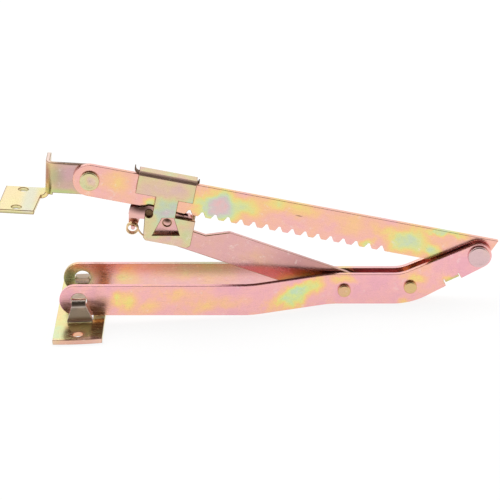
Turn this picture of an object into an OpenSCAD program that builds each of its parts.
// Ratchet hinge for a folding sofa: hooked base plate, two joggled arms,
// toothed rack bar, sliding saddle with a rocking pawl, strut and panel bracket.
// Lengths are in millimetres. X runs along the arms to the apex, Z is up.

/* [Base plate] */
// Length of the base plate across the hinge
base_l = 90; // [84:1:104]
// Width of the base plate along the arms
base_w = 30; // [24:1:40]
// Sheet thickness of the base plate and its hooks
base_t = 3; // [2.5:0.1:3.5]
// Outward bow of the two short ends
base_bow = 0.8; // [0.4:0.1:1.5]
// Radius of the two screw holes
base_hole_r = 3.25; // [2:0.05:3.5]
// Distance from a short end to its screw hole
base_hole_edge = 7.5; // [5:0.5:9]
// Height of the arm pivot above the floor
pivot_h = 15.75; // [15.5:0.25:18]
// Width of a hook where it leaves the plate
hook_root_w = 15.5; // [13:0.5:18]
// Width of a hook neck inside the arm hole
hook_neck_w = 8.6; // [7:0.1:8.8]
// Inner radius of the hook bends
hook_bend_r = 1.5; // [1.2:0.1:1.8]
// Free play between a hook and the outside of its arm
hook_gap = 0.8; // [0.6:0.1:1.2]
// Length of neck that shows inside the arm
hook_tip = 4; // [2:0.5:6]
// Width of the bridge between the two hook windows
window_bridge = 6; // [4:1:10]
// Height of the hook shoulders below the pivot
hook_shoulder = 11.2; // [10.8:0.2:11.6]
// Height over which the shoulders draw in to the neck
hook_taper = 9.4; // [8.6:0.2:9.4]

/* [Arms] */
// Thickness of the flat bars
bar_t = 3; // [2.5:0.1:3.4]
// Width of an arm
arm_w = 20; // [19:0.5:22]
// Distance from the middle plane to the middle of an arm at the hooks
arm_spread = 16; // [14:0.5:18]
// Length of the round tail past the hook hole
arm_tail = 12; // [11.5:0.25:12.5]
// Radius of the hook hole
arm_hole_r = 5; // [4.9:0.05:5.4]
// Where the arms start to close in
joggle_start = 102; // [80:1:110]
// Length over which the arms close in
joggle_l = 56; // [52:1:64]
// Bend radius of the joggle at mid thickness
joggle_r = 40; // [25:1:60]
// Rise of the closed end over the hook end
arm_rise = 2.4; // [0:0.1:4]
// Distance from the joggle to the corner of the upward bend
elbow_past = 43; // [38:1:48]
// Upward angle of the apex end
elbow_angle = 27; // [22:1:32]
// Middle radius of the upward bend
elbow_r = 32; // [24:1:40]
// Length from the corner of the bend to the apex
apex_reach = 49.4; // [44:0.2:56]
// Radius of the round apex end
apex_end_r = 8; // [7.8:0.1:9.5]
// Free play between an arm and the bar inside it
fork_gap = 1.7; // [1.4:0.1:2]
// Distance from the joggle to the strut pivot
strut_pivot_past = 5; // [4.5:0.25:8]
// Drop of the strut pivot below the middle of the arm
strut_pivot_drop = 0.7; // [0:0.1:2]
// Distance from the corner of the upward bend to the tie rivet
tie_past = 2.7; // [0:0.1:5]
// Distance from the apex back to the middle of the stop lug
lug_back = 21; // [19:0.5:24]
// Length of the stop lug
lug_l = 9; // [6:0.5:12]
// Depth of the notch that the stop lug is bent from
lug_notch = 1.8; // [1.5:0.1:3]
// Inner radius of the bend of the stop lug
lug_bend_r = 0.6; // [0.4:0.1:1]
// Relief slit on both sides of the stop lug
lug_slit = 0.8; // [0.5:0.1:1.5]

/* [Rack bar] */
// Width of the rack bar
rack_w = 20.5; // [20:0.5:22]
// Distance from the apex to the panel rivet
rack_l = 242; // [232:1:252]
// Slope of the rack against the arms, folded flat
rack_slope = 11.5; // [11:0.25:14]
// Length of the slanted tip past the apex
rack_tip = 10.4; // [9:0.2:13]
// Slant of the tip
rack_tip_slant = 20; // [0:1:30]
// Distance from the apex to the first tooth space
tooth_first = 59; // [55:1:63]
// Tooth pitch
tooth_pitch = 8; // [8:0.1:8.2]
// Number of tooth spaces
tooth_count = 16; // [16:1:17]
// Depth of a tooth space
tooth_depth = 3.2; // [2.6:0.1:3.6]
// Flat width of a tooth
tooth_flat = 3.2; // [2.6:0.1:3.4]
// Radius at the bottom of a tooth space
tooth_root_r = 1; // [0.8:0.05:1.1]

/* [Saddle] */
// Sheet thickness of the saddle
saddle_t = 2; // [1.6:0.1:2.4]
// Clear width between the two saddle cheeks
saddle_gap = 6.6; // [6.4:0.1:7.4]
// Length of the upper part of the saddle
saddle_l = 35.5; // [32:0.5:40]
// Distance from the strut pin to the apex end of the saddle top
saddle_lead = 13; // [12:0.5:16]
// Clear height between the rack and the roof of the saddle
saddle_head = 1.25; // [0.95:0.05:1.4]
// Bend radius outside the roof
saddle_bend_r = 2.8; // [2.6:0.1:3.2]
// Drop of the upper part below the middle of the rack
saddle_skirt = 1; // [0:0.5:4]
// Width of the neck between the notches
saddle_neck = 14; // [13:0.5:16]
// Length of the lower part
saddle_foot_l = 31; // [30:0.2:34]
// Depth of the lower part below the middle of the rack
saddle_foot_drop = 30.6; // [30:0.1:34]
// Height of the right notch above the foot's left shoulder
foot_step = 1.9; // [1.5:0.1:2.4]
// Bevel of the foot corners
foot_bevel = 1.6; // [1:0.1:2]
// Width of the window at its top
window_top_w = 7.2; // [6:0.2:8]
// Width of the window at its bottom
window_low_w = 16.4; // [14:0.2:17]
// Height of the window
window_h = 11.4; // [9:0.2:11.8]
// Height of the window top above the strut pin
window_rise = 4.6; // [4:0.1:5]
// Sideways slip of the window bottom against its top
window_slip = 1.4; // [0:0.1:2]
// Distance of the strut pin from the apex, folded flat
strut_pin_along = 191; // [188:0.5:194]
// Distance of the strut pin below the middle of the rack
strut_pin_drop = 18; // [17.6:0.1:19]
// Radius of the strut pin
strut_pin_r = 2.5; // [2:0.1:2.6]
// Radius of the guide pin that the pawl rocks on
guide_pin_r = 2.4; // [2:0.1:2.6]
// Distance of the guide pin past the strut pin
guide_pin_back = 12; // [11.5:0.5:13]
// Thickness of the liner leaf under the roof
liner_t = 0.7; // [0.5:0.05:0.7]
// Bend radius of the turned-up rear end of the liner
liner_lip_r = 2.5; // [2:0.5:4]
// Bend radius of the turned-up front end of the liner
liner_nib_r = 0.8; // [0.6:0.1:1.2]
// Upright length of the liner ends
liner_lip_l = 0.6; // [0.4:0.1:2]

/* [Pawl] */
// Sheet thickness of the pawl cheeks
pawl_t = 1.2; // [1:0.05:1.2]
// Angle by which the pawl hangs clear of the teeth
pawl_drop_angle = 7.5; // [7:0.25:9]
// Gap between the raised pawl nose and the tooth space
nose_gap = 0.35; // [0.3:0.05:0.5]
// Distance from the guide pin to the root of the pawl's tail
tail_l = 9.5; // [8.5:0.5:11]
// Depth of the pawl below the guide pin at its nose
nose_depth = 1.8; // [1.2:0.1:2]
// Flat width of the pawl tooth at its tip
nose_tip_w = 1; // [0.8:0.1:1.2]
// Distance from the guide pin to the spring, along the rack
coil_back = 6.3; // [5.9:0.1:7]
// Distance from the guide pin down to the middle of the spring
coil_drop = 14; // [13.5:0.25:15]
// Radius of the peg that the spring hangs on
peg_r = 1.3; // [1:0.1:1.5]
// Wire thickness of the pawl spring
wire_d = 1.2; // [0.8:0.1:1.3]
// Outside diameter of the pawl spring
coil_d = 8.1; // [7.6:0.1:9]
// Turns of the pawl spring
coil_turns = 3; // [2:1:3]

/* [Strut] */
// Width of the strut
strut_w = 20; // [18:0.5:21]
// Offset of the strut pin from the middle of the strut
strut_pin_offset = 3; // [2:0.25:4]
// Radius of the strut head round its pin
strut_head_r = 5.4; // [4.8:0.1:5.8]
// Length of the narrow part of the strut behind the head
strut_dip_l = 25; // [22:0.5:28]
// Depth of the dip below the top edge of the strut
strut_dip_d = 7; // [6:0.25:8]
// Length from the pin to the full width of the strut
strut_full_l = 38; // [34:0.5:44]

/* [Panel bracket] */
// Sheet thickness of the panel bracket
panel_t = 2.5; // [2:0.1:3]
// Width of the ear on the rack
ear_w = 19.8; // [18:0.2:22]
// Distance of the middle of the ear below its rivet
ear_drop = 1; // [0:0.1:1.5]
// Length from the panel rivet to the upright flange
ear_l = 27.3; // [26:0.1:32]
// Inner radius of the panel bracket bends
panel_bend_r = 2.5; // [2:0.1:3]
// Depth of the upright flange behind the ear
flange_d = 16.5; // [12:0.5:20]
// Length of the screw tab away from the flange
tab_l = 22.5; // [18:0.5:30]
// Sideways skew of the screw tab
tab_skew = 2; // [0:0.5:4]
// Depth of the screw tab
tab_d = 36; // [30:1:50]
// Distance of the tab top below the middle of the ear
tab_drop = 14.8; // [13.6:0.2:16]
// Free play between the rack and the ear
layer_gap = 0.5; // [0.4:0.05:0.8]
// Radius of the tab holes
tab_hole_r = 3; // [2:0.1:4]
// Distance from a tab edge to its hole
tab_hole_edge = 4.5; // [4.2:0.1:6]
// Slope of the panel bracket against the arms
panel_slope = 3.5; // [0:0.5:11]

/* [Rivets] */
// Shank radius of the apex and panel rivets
rivet_r = 4; // [3:0.1:4.5]
// Head radius of the apex rivet
apex_head_r = 6.7; // [6:0.1:7.5]
// Head radius of the panel rivet
panel_head_r = 6; // [5.5:0.1:7]
// Shank radius of the strut and tie rivets
small_rivet_r = 3; // [2.5:0.1:3.2]
// Head radius of the strut and tie rivets
small_head_r = 4; // [3.8:0.1:5]
// Thickness of the rivet heads
head_t = 2.2; // [1.5:0.1:2.6]
// Width of the bevel round a rivet head
head_bevel = 0.5; // [0.3:0.05:0.7]
// Running clearance of a pin in its bore
pin_fit = 0.06; // [0.03:0.01:0.09]
// Width of the washers past the rivet shank
washer_w = 3; // [2:0.25:3.5]
// Free play of a washer
washer_play = 0.1; // [0.06:0.02:0.16]

/* [Hidden] */
$fn = 64;
cut = 1;

// Colours of the plated steel
pink_zinc = [0.93, 0.69, 0.64];
yellow_zinc = [0.90, 0.83, 0.58];
olive_zinc = [0.82, 0.77, 0.60];
dull_pink = [0.80, 0.60, 0.57];
rivet_tan = [0.76, 0.68, 0.55];
bare_steel = [0.30, 0.23, 0.17];

// Layers across the hinge
half_t = bar_t / 2;
arm_in = half_t + fork_gap;
arm_out = arm_in + bar_t;
arm_mid = arm_in + half_t;
joggle_d = arm_spread - arm_mid;
ear_in = half_t + layer_gap;
cheek_in = saddle_gap / 2;
cheek_out = cheek_in + saddle_t;
pawl_in = half_t + (cheek_in - half_t - pawl_t) / 2;
pawl_out = pawl_in + pawl_t;
pawl_rim = 2.2;
side_gap = 0.3;

// In-plane shape of the arms
joggle_end = joggle_start + joggle_l;
strut_pivot_x = joggle_end + strut_pivot_past;
elbow_x = joggle_end + elbow_past;
tie_x = elbow_x + tie_past;
elbow_tangent = elbow_r * tan(elbow_angle / 2);
elbow_start = elbow_x - elbow_tangent;
apex_x = elbow_x + apex_reach * cos(elbow_angle);
apex_z = arm_rise + apex_reach * sin(elbow_angle);
strut_pivot_z = arm_rise - strut_pivot_drop;
tie_z = arm_rise + (tie_x - elbow_start) * (tie_x - elbow_start) / (2 * elbow_r);

// Slope of the whole hinge when the elbow of the arms touches the floor
elbow_up = arm_rise + elbow_r;
elbow_low = elbow_r + arm_w / 2 - pivot_h;
lean = atan2(elbow_up, elbow_start) - asin(elbow_low / sqrt(elbow_up * elbow_up + elbow_start * elbow_start));

// Places along the rack, counted from the apex to the panel rivet
rack_half = rack_w / 2;
saddle_a0 = strut_pin_along - saddle_lead;
saddle_a1 = saddle_a0 + saddle_l;
guide_a = strut_pin_along + guide_pin_back;
guide_p = -rack_half - side_gap - guide_pin_r;
neck_a1 = guide_a - guide_pin_r + side_gap;
neck_a0 = neck_a1 - saddle_neck;
foot_a1 = guide_a + guide_pin_r;
foot_a0 = foot_a1 - saddle_foot_l;
foot_top = guide_p - guide_pin_r / 2;
roof_in = rack_half + saddle_head;
roof_out = roof_in + saddle_t;
nose_reach = 3 * tooth_pitch;
nose_a = tooth_first + tooth_pitch * round((guide_a - nose_reach - tooth_first) / tooth_pitch);
nose_tip = -rack_half + tooth_depth - nose_gap;
space_half = (tooth_pitch - tooth_flat) / 2;

// Spring on the pawl's tail: a leg that reaches into the saddle, then close turns
coil_steps = 16;
coil_r = (coil_d - wire_d) / 2;
coil_in_r = coil_r - wire_d / 2;
coil_pitch = wire_d + washer_play;
coil_len = coil_turns * coil_pitch + wire_d;
coil_y = pawl_in - washer_play - coil_len / 2;
leg_y = wire_d - cheek_in - coil_y;
coil_path = concat([[2.6 * coil_r, leg_y, -0.75 * coil_r], [1.6 * coil_r, leg_y, -0.3 * coil_r]],
    [for (k = [1:coil_steps * coil_turns]) let (a = 360 * k / coil_steps)
        [coil_r * cos(a), coil_pitch * (k / coil_steps - coil_turns / 2), coil_r * sin(a)]]);

// Strut pin and strut direction in the arm plane
strut_x = apex_x - strut_pin_along * cos(rack_slope) - strut_pin_drop * sin(rack_slope);
strut_z = apex_z + strut_pin_along * sin(rack_slope) - strut_pin_drop * cos(rack_slope);
strut_dx = strut_pivot_x - strut_x;
strut_dz = strut_pivot_z - strut_z;
strut_l = sqrt(strut_dx * strut_dx + strut_dz * strut_dz);
strut_bar_l = sqrt(strut_l * strut_l - strut_pin_offset * strut_pin_offset);
strut_fall = -atan2(strut_dz, strut_dx) - asin(strut_pin_offset / strut_l);

// Points on an arc
function arc(c, r, a0, a1, n) =
    [for (k = [0:n]) c + r * [cos(a0 + (a1 - a0) * k / n), sin(a0 + (a1 - a0) * k / n)]];

// Angle of the straight run between the two equal bends of a joggle
function joggle_angle(l, d, r) =
    asin(2 * r / sqrt(l * l + (2 * r - d) * (2 * r - d))) - atan2(2 * r - d, l);

// One edge of a joggled strip, shifted sideways by s
function joggle_edge(s) = let (a = joggle_angle(joggle_l, joggle_d, joggle_r)) concat(
    [[-2 * arm_tail, -arm_spread + s]],
    arc([joggle_start, -arm_spread + joggle_r], joggle_r - s, -90, -90 + a, 6),
    arc([joggle_end, -arm_mid - joggle_r], joggle_r + s, 90 + a, 90, 6),
    [[apex_x + arm_w, -arm_mid + s]]);

function flip(p) = [for (k = [len(p) - 1:-1:0]) p[k]];

// An outline in the X-Z plane, made into a plate from y0 to y1
module side(y0, y1) {
    translate([0, y1, 0]) rotate([90, 0, 0]) linear_extrude(y1 - y0) children();
}

// A profile in the Y-Z plane, run from x0 to x1
module along_x(x0, x1) {
    translate([x0, 0, 0]) rotate([90, 0, 90]) linear_extrude(x1 - x0) children();
}

// A round bar along Y
module round_y(r, y0, y1) {
    translate([0, y0, 0]) rotate([-90, 0, 0]) cylinder(r = r, h = y1 - y0);
}

// A quarter of a ring, from angle a to a + 90
module quarter(r0, r1, a) {
    rotate(a) intersection() {
        difference() {
            circle(r1);
            circle(r0);
        }
        square(r1 + cut);
    }
}

// Bevelled rivet head with its flat side at y and its face on the side of dir
module rivet_head(y, r, dir) {
    translate([0, y, 0]) rotate([-90 * dir, 0, 0]) rotate_extrude()
        polygon([[0, 0], [r, 0], [r, head_t - head_bevel], [r - head_bevel, head_t], [0, head_t]]);
}

module in_arms() {
    translate([0, 0, pivot_h]) rotate([0, lean, 0]) children();
}

module at_apex() {
    in_arms() translate([apex_x, 0, apex_z]) rotate([0, rack_slope, 0]) children();
}

module at_panel() {
    at_apex() translate([-rack_l, 0, 0]) rotate([0, panel_slope - rack_slope, 0]) children();
}

module at_strut() {
    in_arms() translate([strut_x, 0, strut_z]) rotate([0, strut_fall, 0]) children();
}

module at_pawl() {
    at_apex() translate([-guide_a, 0, guide_p]) rotate([0, pawl_drop_angle, 0]) children();
}

// Bent section of the front hook, from the plate up and in through the arm
module hook_section() {
    root = -(arm_spread + half_t + hook_gap);
    plate_r = hook_bend_r + base_t;
    translate([root - plate_r - cut, 0]) square([cut, base_t]);
    translate([root - plate_r, plate_r]) quarter(hook_bend_r, plate_r, -90);
    translate([root - base_t, plate_r])
        square([base_t, pivot_h - base_t / 2 - hook_bend_r - plate_r]);
    translate([root + hook_bend_r, pivot_h - base_t / 2 - hook_bend_r]) quarter(hook_bend_r, plate_r, 90);
    translate([root + hook_bend_r, pivot_h - base_t / 2])
        square([bar_t + hook_gap + hook_tip - hook_bend_r, base_t]);
}

// Front view of a hook: wide root, drawn-in shoulders and a narrow neck
module hook_outline() {
    root = hook_root_w / 2;
    neck = hook_neck_w / 2;
    waist = (2 * root + 3 * neck) / 5;
    shoulder = pivot_h - hook_shoulder;
    neck_low = shoulder + hook_taper;
    polygon([[-root, -cut], [root, -cut], [root, shoulder], [waist, shoulder + hook_taper / 2],
        [neck, neck_low], [neck, pivot_h + base_t], [-neck, pivot_h + base_t],
        [-neck, neck_low], [-waist, shoulder + hook_taper / 2], [-root, shoulder]]);
}

module hook() {
    root = -(arm_spread + half_t + hook_gap);
    intersection() {
        along_x(-base_w / 2, base_w / 2) hook_section();
        side(root - 4 * base_t, root + 4 * base_t) hook_outline();
    }
}

module lower_bracket() {
    bow_r = (base_w * base_w / 4 + base_bow * base_bow) / (2 * base_bow);
    hook_face = arm_spread + half_t + hook_gap;
    plate_r = hook_bend_r + base_t;
    hole_y = base_l / 2 - base_hole_edge;
    color(yellow_zinc) {
        difference() {
            linear_extrude(base_t) intersection() {
                square([base_w, base_l], center = true);
                translate([0, base_l / 2 - bow_r]) circle(bow_r, $fn = 180);
                translate([0, bow_r - base_l / 2]) circle(bow_r, $fn = 180);
            }
            for (s = [-1, 1]) {
                translate([0, s * hole_y, -cut]) cylinder(r = base_hole_r, h = base_t + 2 * cut);
                translate([-hook_root_w / 2, s > 0 ? window_bridge / 2 : -hook_face - plate_r, -cut])
                    cube([hook_root_w, hook_face + plate_r - window_bridge / 2, base_t + 2 * cut]);
            }
        }
        hook();
        mirror([0, 1, 0]) hook();
    }
}

// Side view of an arm: round tail, gentle rise, elbow and round apex end
module arm_outline() {
    h = arm_w / 2;
    tail = h - arm_tail;
    centre = [elbow_start, arm_rise + elbow_r];
    reach = apex_reach - elbow_r * tan(elbow_angle / 2);
    taper = acos(apex_end_r / norm([h, reach])) - atan2(reach, h);
    above = apex_end_r * [-sin(elbow_angle - taper), cos(elbow_angle - taper)];
    below = apex_end_r * [sin(elbow_angle + taper), -cos(elbow_angle + taper)];
    polygon(concat(
        [[tail, -h], [joggle_start, -h], [joggle_end, arm_rise - h]],
        arc(centre, elbow_r + h, -90, elbow_angle - 90, 10),
        [[apex_x, apex_z] + below, [apex_x, apex_z] + above],
        arc(centre, elbow_r - h, elbow_angle - 90, -90, 10),
        [[joggle_end, arm_rise + h], [joggle_start, h], [tail, h]]));
    translate([tail, 0]) circle(h);
    translate([apex_x, apex_z]) circle(apex_end_r);
}

// Stop lug bent in from the lower edge near the apex
module lug(notch) {
    translate([elbow_x, 0, arm_rise]) rotate([0, -elbow_angle, 0])
        translate([apex_reach - lug_back - lug_l / 2, 0, -arm_w / 2])
            if (notch) translate([-lug_slit, -arm_out - cut, -cut])
                cube([lug_l + 2 * lug_slit, bar_t + 2 * cut, lug_notch + lug_bend_r + bar_t + cut]);
            else along_x(0, lug_l) translate([lug_bend_r - arm_in, lug_notch]) {
                translate([0, lug_bend_r + bar_t]) quarter(lug_bend_r, lug_bend_r + bar_t, 180);
                square([arm_in - lug_bend_r - side_gap, bar_t]);
            }
}

module one_arm() {
    difference() {
        intersection() {
            side(-arm_spread - bar_t, 0) arm_outline();
            translate([0, 0, -arm_w]) linear_extrude(apex_z + 3 * arm_w)
                polygon(concat(joggle_edge(-half_t), flip(joggle_edge(half_t))));
        }
        lug(true);
        round_y(arm_hole_r, -arm_spread - bar_t, 0);
        translate([apex_x, 0, apex_z]) round_y(rivet_r, -2 * arm_out, 0);
        translate([strut_pivot_x, 0, strut_pivot_z]) round_y(small_rivet_r, -2 * arm_out, 0);
        translate([tie_x, 0, tie_z]) round_y(small_rivet_r, -2 * arm_out, 0);
    }
    lug(false);
}

module front_arm() {
    color(pink_zinc) in_arms() one_arm();
}

module rear_arm() {
    color(pink_zinc) in_arms() mirror([0, 1, 0]) one_arm();
}

module apex_rivet() {
    color(rivet_tan) at_apex() {
        round_y(rivet_r, -arm_out, arm_out);
        rivet_head(-arm_out, apex_head_r, -1);
        rivet_head(arm_out, apex_head_r, 1);
    }
}

// Thin washers between the rack and each arm
module apex_washers() {
    color(rivet_tan) at_apex() for (y = [-arm_in, half_t + washer_play]) difference() {
        round_y(rivet_r + washer_w, y, y + fork_gap - washer_play);
        round_y(rivet_r, y - cut, y + fork_gap + cut);
    }
}

module tie_rivet() {
    color(rivet_tan) in_arms() translate([tie_x, 0, tie_z]) {
        round_y(small_rivet_r, -arm_out, arm_out);
        rivet_head(-arm_out, small_head_r, -1);
        rivet_head(arm_out, small_head_r, 1);
    }
}

// Tube that keeps the arms apart at the tie rivet
module tie_spacer() {
    color(rivet_tan) in_arms() translate([tie_x, 0, tie_z]) difference() {
        round_y(small_rivet_r + washer_w, -arm_in, arm_in);
        round_y(small_rivet_r, -arm_in - cut, arm_in + cut);
    }
}

// The strut pivot ends flush with the inner face of each arm
module strut_rivet() {
    color(rivet_tan) in_arms() translate([strut_pivot_x, 0, strut_pivot_z]) for (s = [-1, 1]) {
        round_y(small_rivet_r, s > 0 ? arm_in : -arm_out, s > 0 ? arm_out : -arm_in);
        rivet_head(s * arm_out, small_head_r, s);
    }
}

// One tooth space with a round bottom
module tooth_space() {
    root = tooth_depth - tooth_root_r;
    polygon([[-space_half, 0], [-space_half, -cut], [space_half, -cut], [space_half, 0],
        [tooth_root_r, root], [-tooth_root_r, root]]);
    translate([0, root]) circle(tooth_root_r);
}

module rack_outline() {
    slant = rack_w * tan(rack_tip_slant);
    difference() {
        union() {
            polygon([[-rack_l, -rack_half], [rack_tip - slant, -rack_half], [rack_tip, rack_half],
                [-rack_l, rack_half]]);
            translate([-rack_l, 0]) circle(rack_half);
        }
        for (k = [0:tooth_count - 1])
            translate([-tooth_first - k * tooth_pitch, -rack_half]) tooth_space();
    }
}

module toothed_bar() {
    color(pink_zinc) at_apex() difference() {
        side(-half_t, half_t) rack_outline();
        round_y(rivet_r + pin_fit, -bar_t, bar_t);
        translate([-rack_l, 0, 0]) round_y(rivet_r, -bar_t, bar_t);
    }
}

module upper_rivet() {
    color(olive_zinc) at_panel() {
        round_y(rivet_r, -half_t, ear_in + panel_t + washer_play);
        rivet_head(-half_t, panel_head_r, -1);
        rivet_head(ear_in + panel_t + washer_play, panel_head_r, 1);
    }
}

// Thin washer between the rack and the ear
module upper_washer() {
    color(rivet_tan) at_panel() difference() {
        round_y(rivet_r + washer_w, half_t, half_t + layer_gap - washer_play);
        round_y(rivet_r, 0, ear_in);
    }
}

// Flat outline of the screw tab, skewed in front of the flange
module tab_outline(tab_x, fold_y, back) {
    front = back - tab_d;
    end_x = tab_x + tab_l;
    difference() {
        polygon([[tab_x, back], [tab_x - tab_skew, front], [end_x - tab_skew, front], [end_x, fold_y],
            [end_x, back]]);
        for (e = [tab_hole_edge, tab_d - tab_hole_edge])
            translate([tab_x + tab_l / 2 - tab_skew * e / tab_d, back - e]) circle(tab_hole_r);
    }
}

// Sheet bracket: round ear, upright flange bent back, screw tab bent out below it
module upper_bracket() {
    outer = panel_bend_r + panel_t;
    back = ear_in + flange_d;
    fold_y = ear_in + outer;
    low = panel_bend_r - tab_drop;
    flange_h = ear_w / 2 - ear_drop - low;
    color(yellow_zinc) at_panel() difference() {
        union() {
            translate([0, 0, -ear_drop]) {
                round_y(ear_w / 2, ear_in, ear_in + panel_t);
                translate([outer - ear_l, ear_in, -ear_w / 2]) cube([ear_l - outer, panel_t, ear_w]);
            }
            translate([outer - ear_l, fold_y, low]) linear_extrude(flange_h) quarter(panel_bend_r, outer, 180);
            translate([-ear_l, fold_y, low]) cube([panel_t, back - fold_y, flange_h]);
            side(fold_y, back) translate([-ear_l - panel_bend_r, low]) quarter(panel_bend_r, outer, -90);
            translate([0, 0, -tab_drop - panel_t]) linear_extrude(panel_t)
                tab_outline(-ear_l - panel_bend_r - tab_l, fold_y, back);
        }
        round_y(rivet_r + pin_fit, 0, 2 * back);
    }
}

// Folded section of the saddle, open below
module saddle_section() {
    inner_r = saddle_bend_r - saddle_t;
    difference() {
        union() {
            translate([-cheek_out, -2 * rack_w]) square([2 * cheek_out, 2 * rack_w + roof_out - saddle_bend_r]);
            translate([saddle_bend_r - cheek_out, 0]) square([2 * (cheek_out - saddle_bend_r), roof_out]);
            for (s = [-1, 1]) translate([s * (cheek_out - saddle_bend_r), roof_out - saddle_bend_r])
                circle(saddle_bend_r);
        }
        translate([-cheek_in, -2 * rack_w - cut]) square([2 * cheek_in, 2 * rack_w + roof_in - inner_r + cut]);
        translate([inner_r - cheek_in, 0]) square([2 * (cheek_in - inner_r), roof_in]);
        for (s = [-1, 1]) translate([s * (cheek_in - inner_r), roof_in - inner_r]) circle(inner_r);
    }
}

// Side view of the saddle: skirt over the rack, neck and foot with bevelled corners
module saddle_outline() {
    low = -saddle_foot_drop;
    step = foot_top + foot_step;
    polygon([[-saddle_a1, roof_out], [-saddle_a1, -saddle_skirt], [-neck_a1, -saddle_skirt],
        [-neck_a1, foot_top], [-foot_a1, foot_top], [-foot_a1 + foot_bevel, low + foot_bevel],
        [-foot_a1 + 2 * foot_bevel, low], [-foot_a0 - foot_bevel, low], [-foot_a0, low + foot_bevel],
        [-foot_a0, step], [-neck_a0, step], [-neck_a0, -saddle_skirt],
        [-saddle_a0, -saddle_skirt], [-saddle_a0, roof_out]]);
}

// Tapered window that shows the strut head and its pin
module saddle_window() {
    low = window_rise - window_h;
    slip = window_slip / 2;
    translate([-strut_pin_along, -strut_pin_drop]) rotate(rack_slope)
        polygon([[slip - window_top_w / 2, window_rise], [-slip - window_low_w / 2, low],
            [window_low_w / 2 - slip, low], [window_top_w / 2 + slip, window_rise]]);
}

module saddle() {
    color(olive_zinc) at_apex() {
        difference() {
            intersection() {
                along_x(-saddle_a1, -foot_a0) saddle_section();
                side(-2 * cheek_out, 2 * cheek_out) saddle_outline();
            }
            side(-2 * cheek_out, 0) saddle_window();
            translate([-guide_a, 0, guide_p]) round_y(guide_pin_r, -2 * cheek_out, 2 * cheek_out);
            translate([-strut_pin_along, 0, -strut_pin_drop]) round_y(strut_pin_r, 0, 2 * cheek_out);
        }
        translate([-guide_a, 0, guide_p]) difference() {
            round_y(guide_pin_r + saddle_t, cheek_in, cheek_out);
            round_y(guide_pin_r, 0, 2 * cheek_out);
            translate([guide_a - neck_a1, 0, -rack_w]) cube([rack_w, 2 * cheek_out, 2 * rack_w]);
            translate([-rack_w, 0, foot_top - guide_p - rack_w]) cube([2 * rack_w, 2 * cheek_out, rack_w]);
        }
    }
}

// Leaf between the rack and the roof, with turned-up ends
module saddle_liner() {
    half_l = saddle_l / 2;
    half_y = cheek_in - saddle_bend_r + saddle_t - side_gap;
    color(bare_steel) at_apex() translate([-(saddle_a0 + saddle_a1) / 2, 0, roof_in - liner_t]) {
        translate([-half_l, -half_y, 0]) cube([saddle_l, 2 * half_y, liner_t]);
        for (s = [0, 1]) mirror([s, 0, 0]) side(-half_y, half_y) {
            r = s > 0 ? liner_lip_r : liner_nib_r;
            translate([half_l, r + liner_t]) quarter(r, r + liner_t, -90);
            translate([half_l + r, r + liner_t]) square([liner_t, liner_lip_l]);
        }
    }
}

module guide_pin() {
    color(bare_steel) at_apex() translate([-guide_a, 0, guide_p]) round_y(guide_pin_r, -pawl_out - side_gap, cheek_out);
}

// Side view of a pawl cheek, drawn as it stands with the nose in a tooth space
module pawl_cheek() {
    nose_x = guide_a - nose_a;
    rise = -rack_half - guide_p;
    rim = guide_pin_r + pawl_rim;
    circle(rim);
    polygon([[0, rim], [0, -rim], [guide_pin_back, 0], [nose_x - space_half, -nose_depth],
        [nose_x + space_half, -nose_depth], [nose_x + space_half, rise + pawl_rim]]);
    polygon([[0, rim], [-tail_l - pawl_rim, -pawl_rim / 4], [-tail_l - pawl_rim, -rim], [-tail_l, -1.5 * rim],
        [0, -rim]]);
}

// Cross bar of the pawl with the tooth that drops into the rack
module pawl_nose() {
    nose_x = guide_a - nose_a;
    tip = nose_tip - guide_p;
    rise = -rack_half - guide_p;
    base = space_half - nose_gap;
    polygon([[nose_x - nose_tip_w / 2, tip], [nose_x - base, rise], [nose_x - base, -nose_depth],
        [nose_x + base, -nose_depth], [nose_x + base, rise], [nose_x + nose_tip_w / 2, tip]]);
}

// Tail of the pawl: cross bar, and a tongue on the rear cheek with the peg for the spring
module pawl_tail() {
    rim = guide_pin_r + pawl_rim;
    side(-pawl_out, pawl_out) polygon([[-tail_l - pawl_rim, -rim], [-tail_l, -1.5 * rim], [-tail_l, -rim],
        [-tail_l - pawl_rim, -rim + pawl_t]]);
    side(pawl_in, pawl_out) polygon([[-tail_l - pawl_rim, -rim], [-coil_back - 2 * peg_r, -coil_drop],
        [-coil_back + 2 * peg_r, -coil_drop], [-coil_back + 2 * peg_r, -rim]]);
    translate([-coil_back, 0, coil_in_r - peg_r - 2 * washer_play - coil_drop])
        round_y(peg_r, coil_y - coil_len / 2, pawl_out);
}

module pawl() {
    color(dull_pink) at_pawl() difference() {
        union() {
            for (y = [-pawl_out, pawl_in]) side(y, y + pawl_t) pawl_cheek();
            side(-pawl_out, pawl_out) pawl_nose();
            pawl_tail();
        }
        round_y(guide_pin_r + pin_fit, -cheek_out, cheek_out);
    }
}

function unit(v) = v / norm(v);

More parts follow.
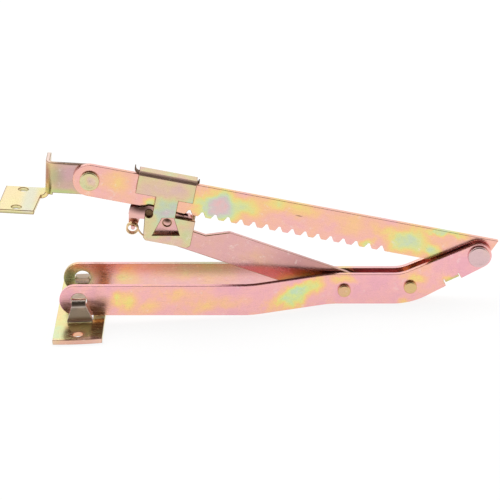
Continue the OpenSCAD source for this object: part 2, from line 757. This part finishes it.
// Round wire swept along a path, with closed ends
module wire(path, d, n) {
    m = len(path);
    rings = [for (k = [0:m - 1]) let (
        t = unit(path[min(k + 1, m - 1)] - path[max(k - 1, 0)]),
        u = unit(cross(t, [0, 1, 0])), v = cross(t, u))
        for (j = [0:n - 1]) path[k] + d / 2 * (u * cos(360 * j / n) + v * sin(360 * j / n))];
    sides = [for (k = [0:m - 2], j = [0:n - 1])
        [k * n + j, k * n + (j + 1) % n, (k + 1) * n + (j + 1) % n, (k + 1) * n + j]];
    polyhedron(rings, concat([[for (j = [n - 1:-1:0]) j]], sides, [[for (j = [0:n - 1]) (m - 1) * n + j]]));
}

module pawl_spring() {
    color(olive_zinc) at_pawl() translate([-coil_back, coil_y, -coil_drop]) wire(coil_path, wire_d, 8);
}

// Side view of the strut: round head, dip behind it and a full-width bar
module strut_outline() {
    h = strut_w / 2;
    r = strut_head_r;
    top = h - strut_pin_offset;
    low = -h - strut_pin_offset;
    dip = top - strut_dip_d;
    chin = r / 2;
    brow = 0.7 * r;
    polygon([[-r, low + chin], [chin - r, low], [strut_bar_l, low], [strut_bar_l, top], [strut_full_l, top],
        [strut_dip_l, dip], [strut_dip_l / 2, dip], [brow, brow], [0, brow], [-r, 0]]);
    circle(r);
    translate([strut_bar_l, -strut_pin_offset]) circle(h);
}

module strut() {
    color(dull_pink) at_strut() difference() {
        side(-half_t, half_t) strut_outline();
        round_y(strut_pin_r + pin_fit, -bar_t, bar_t);
        translate([strut_bar_l, 0, -strut_pin_offset]) round_y(small_rivet_r + pin_fit, -bar_t, bar_t);
    }
}

// Pin set in the rear cheek; it ends inside the strut head
module strut_pin() {
    color(rivet_tan) at_strut() round_y(strut_pin_r, -half_t + bar_t / 3, cheek_out);
}

lower_bracket();
front_arm();
rear_arm();
apex_rivet();
apex_washers();
tie_rivet();
tie_spacer();
strut_rivet();
toothed_bar();
upper_bracket();
upper_rivet();
upper_washer();
saddle();
saddle_liner();
guide_pin();
pawl();
pawl_spring();
strut();
strut_pin();
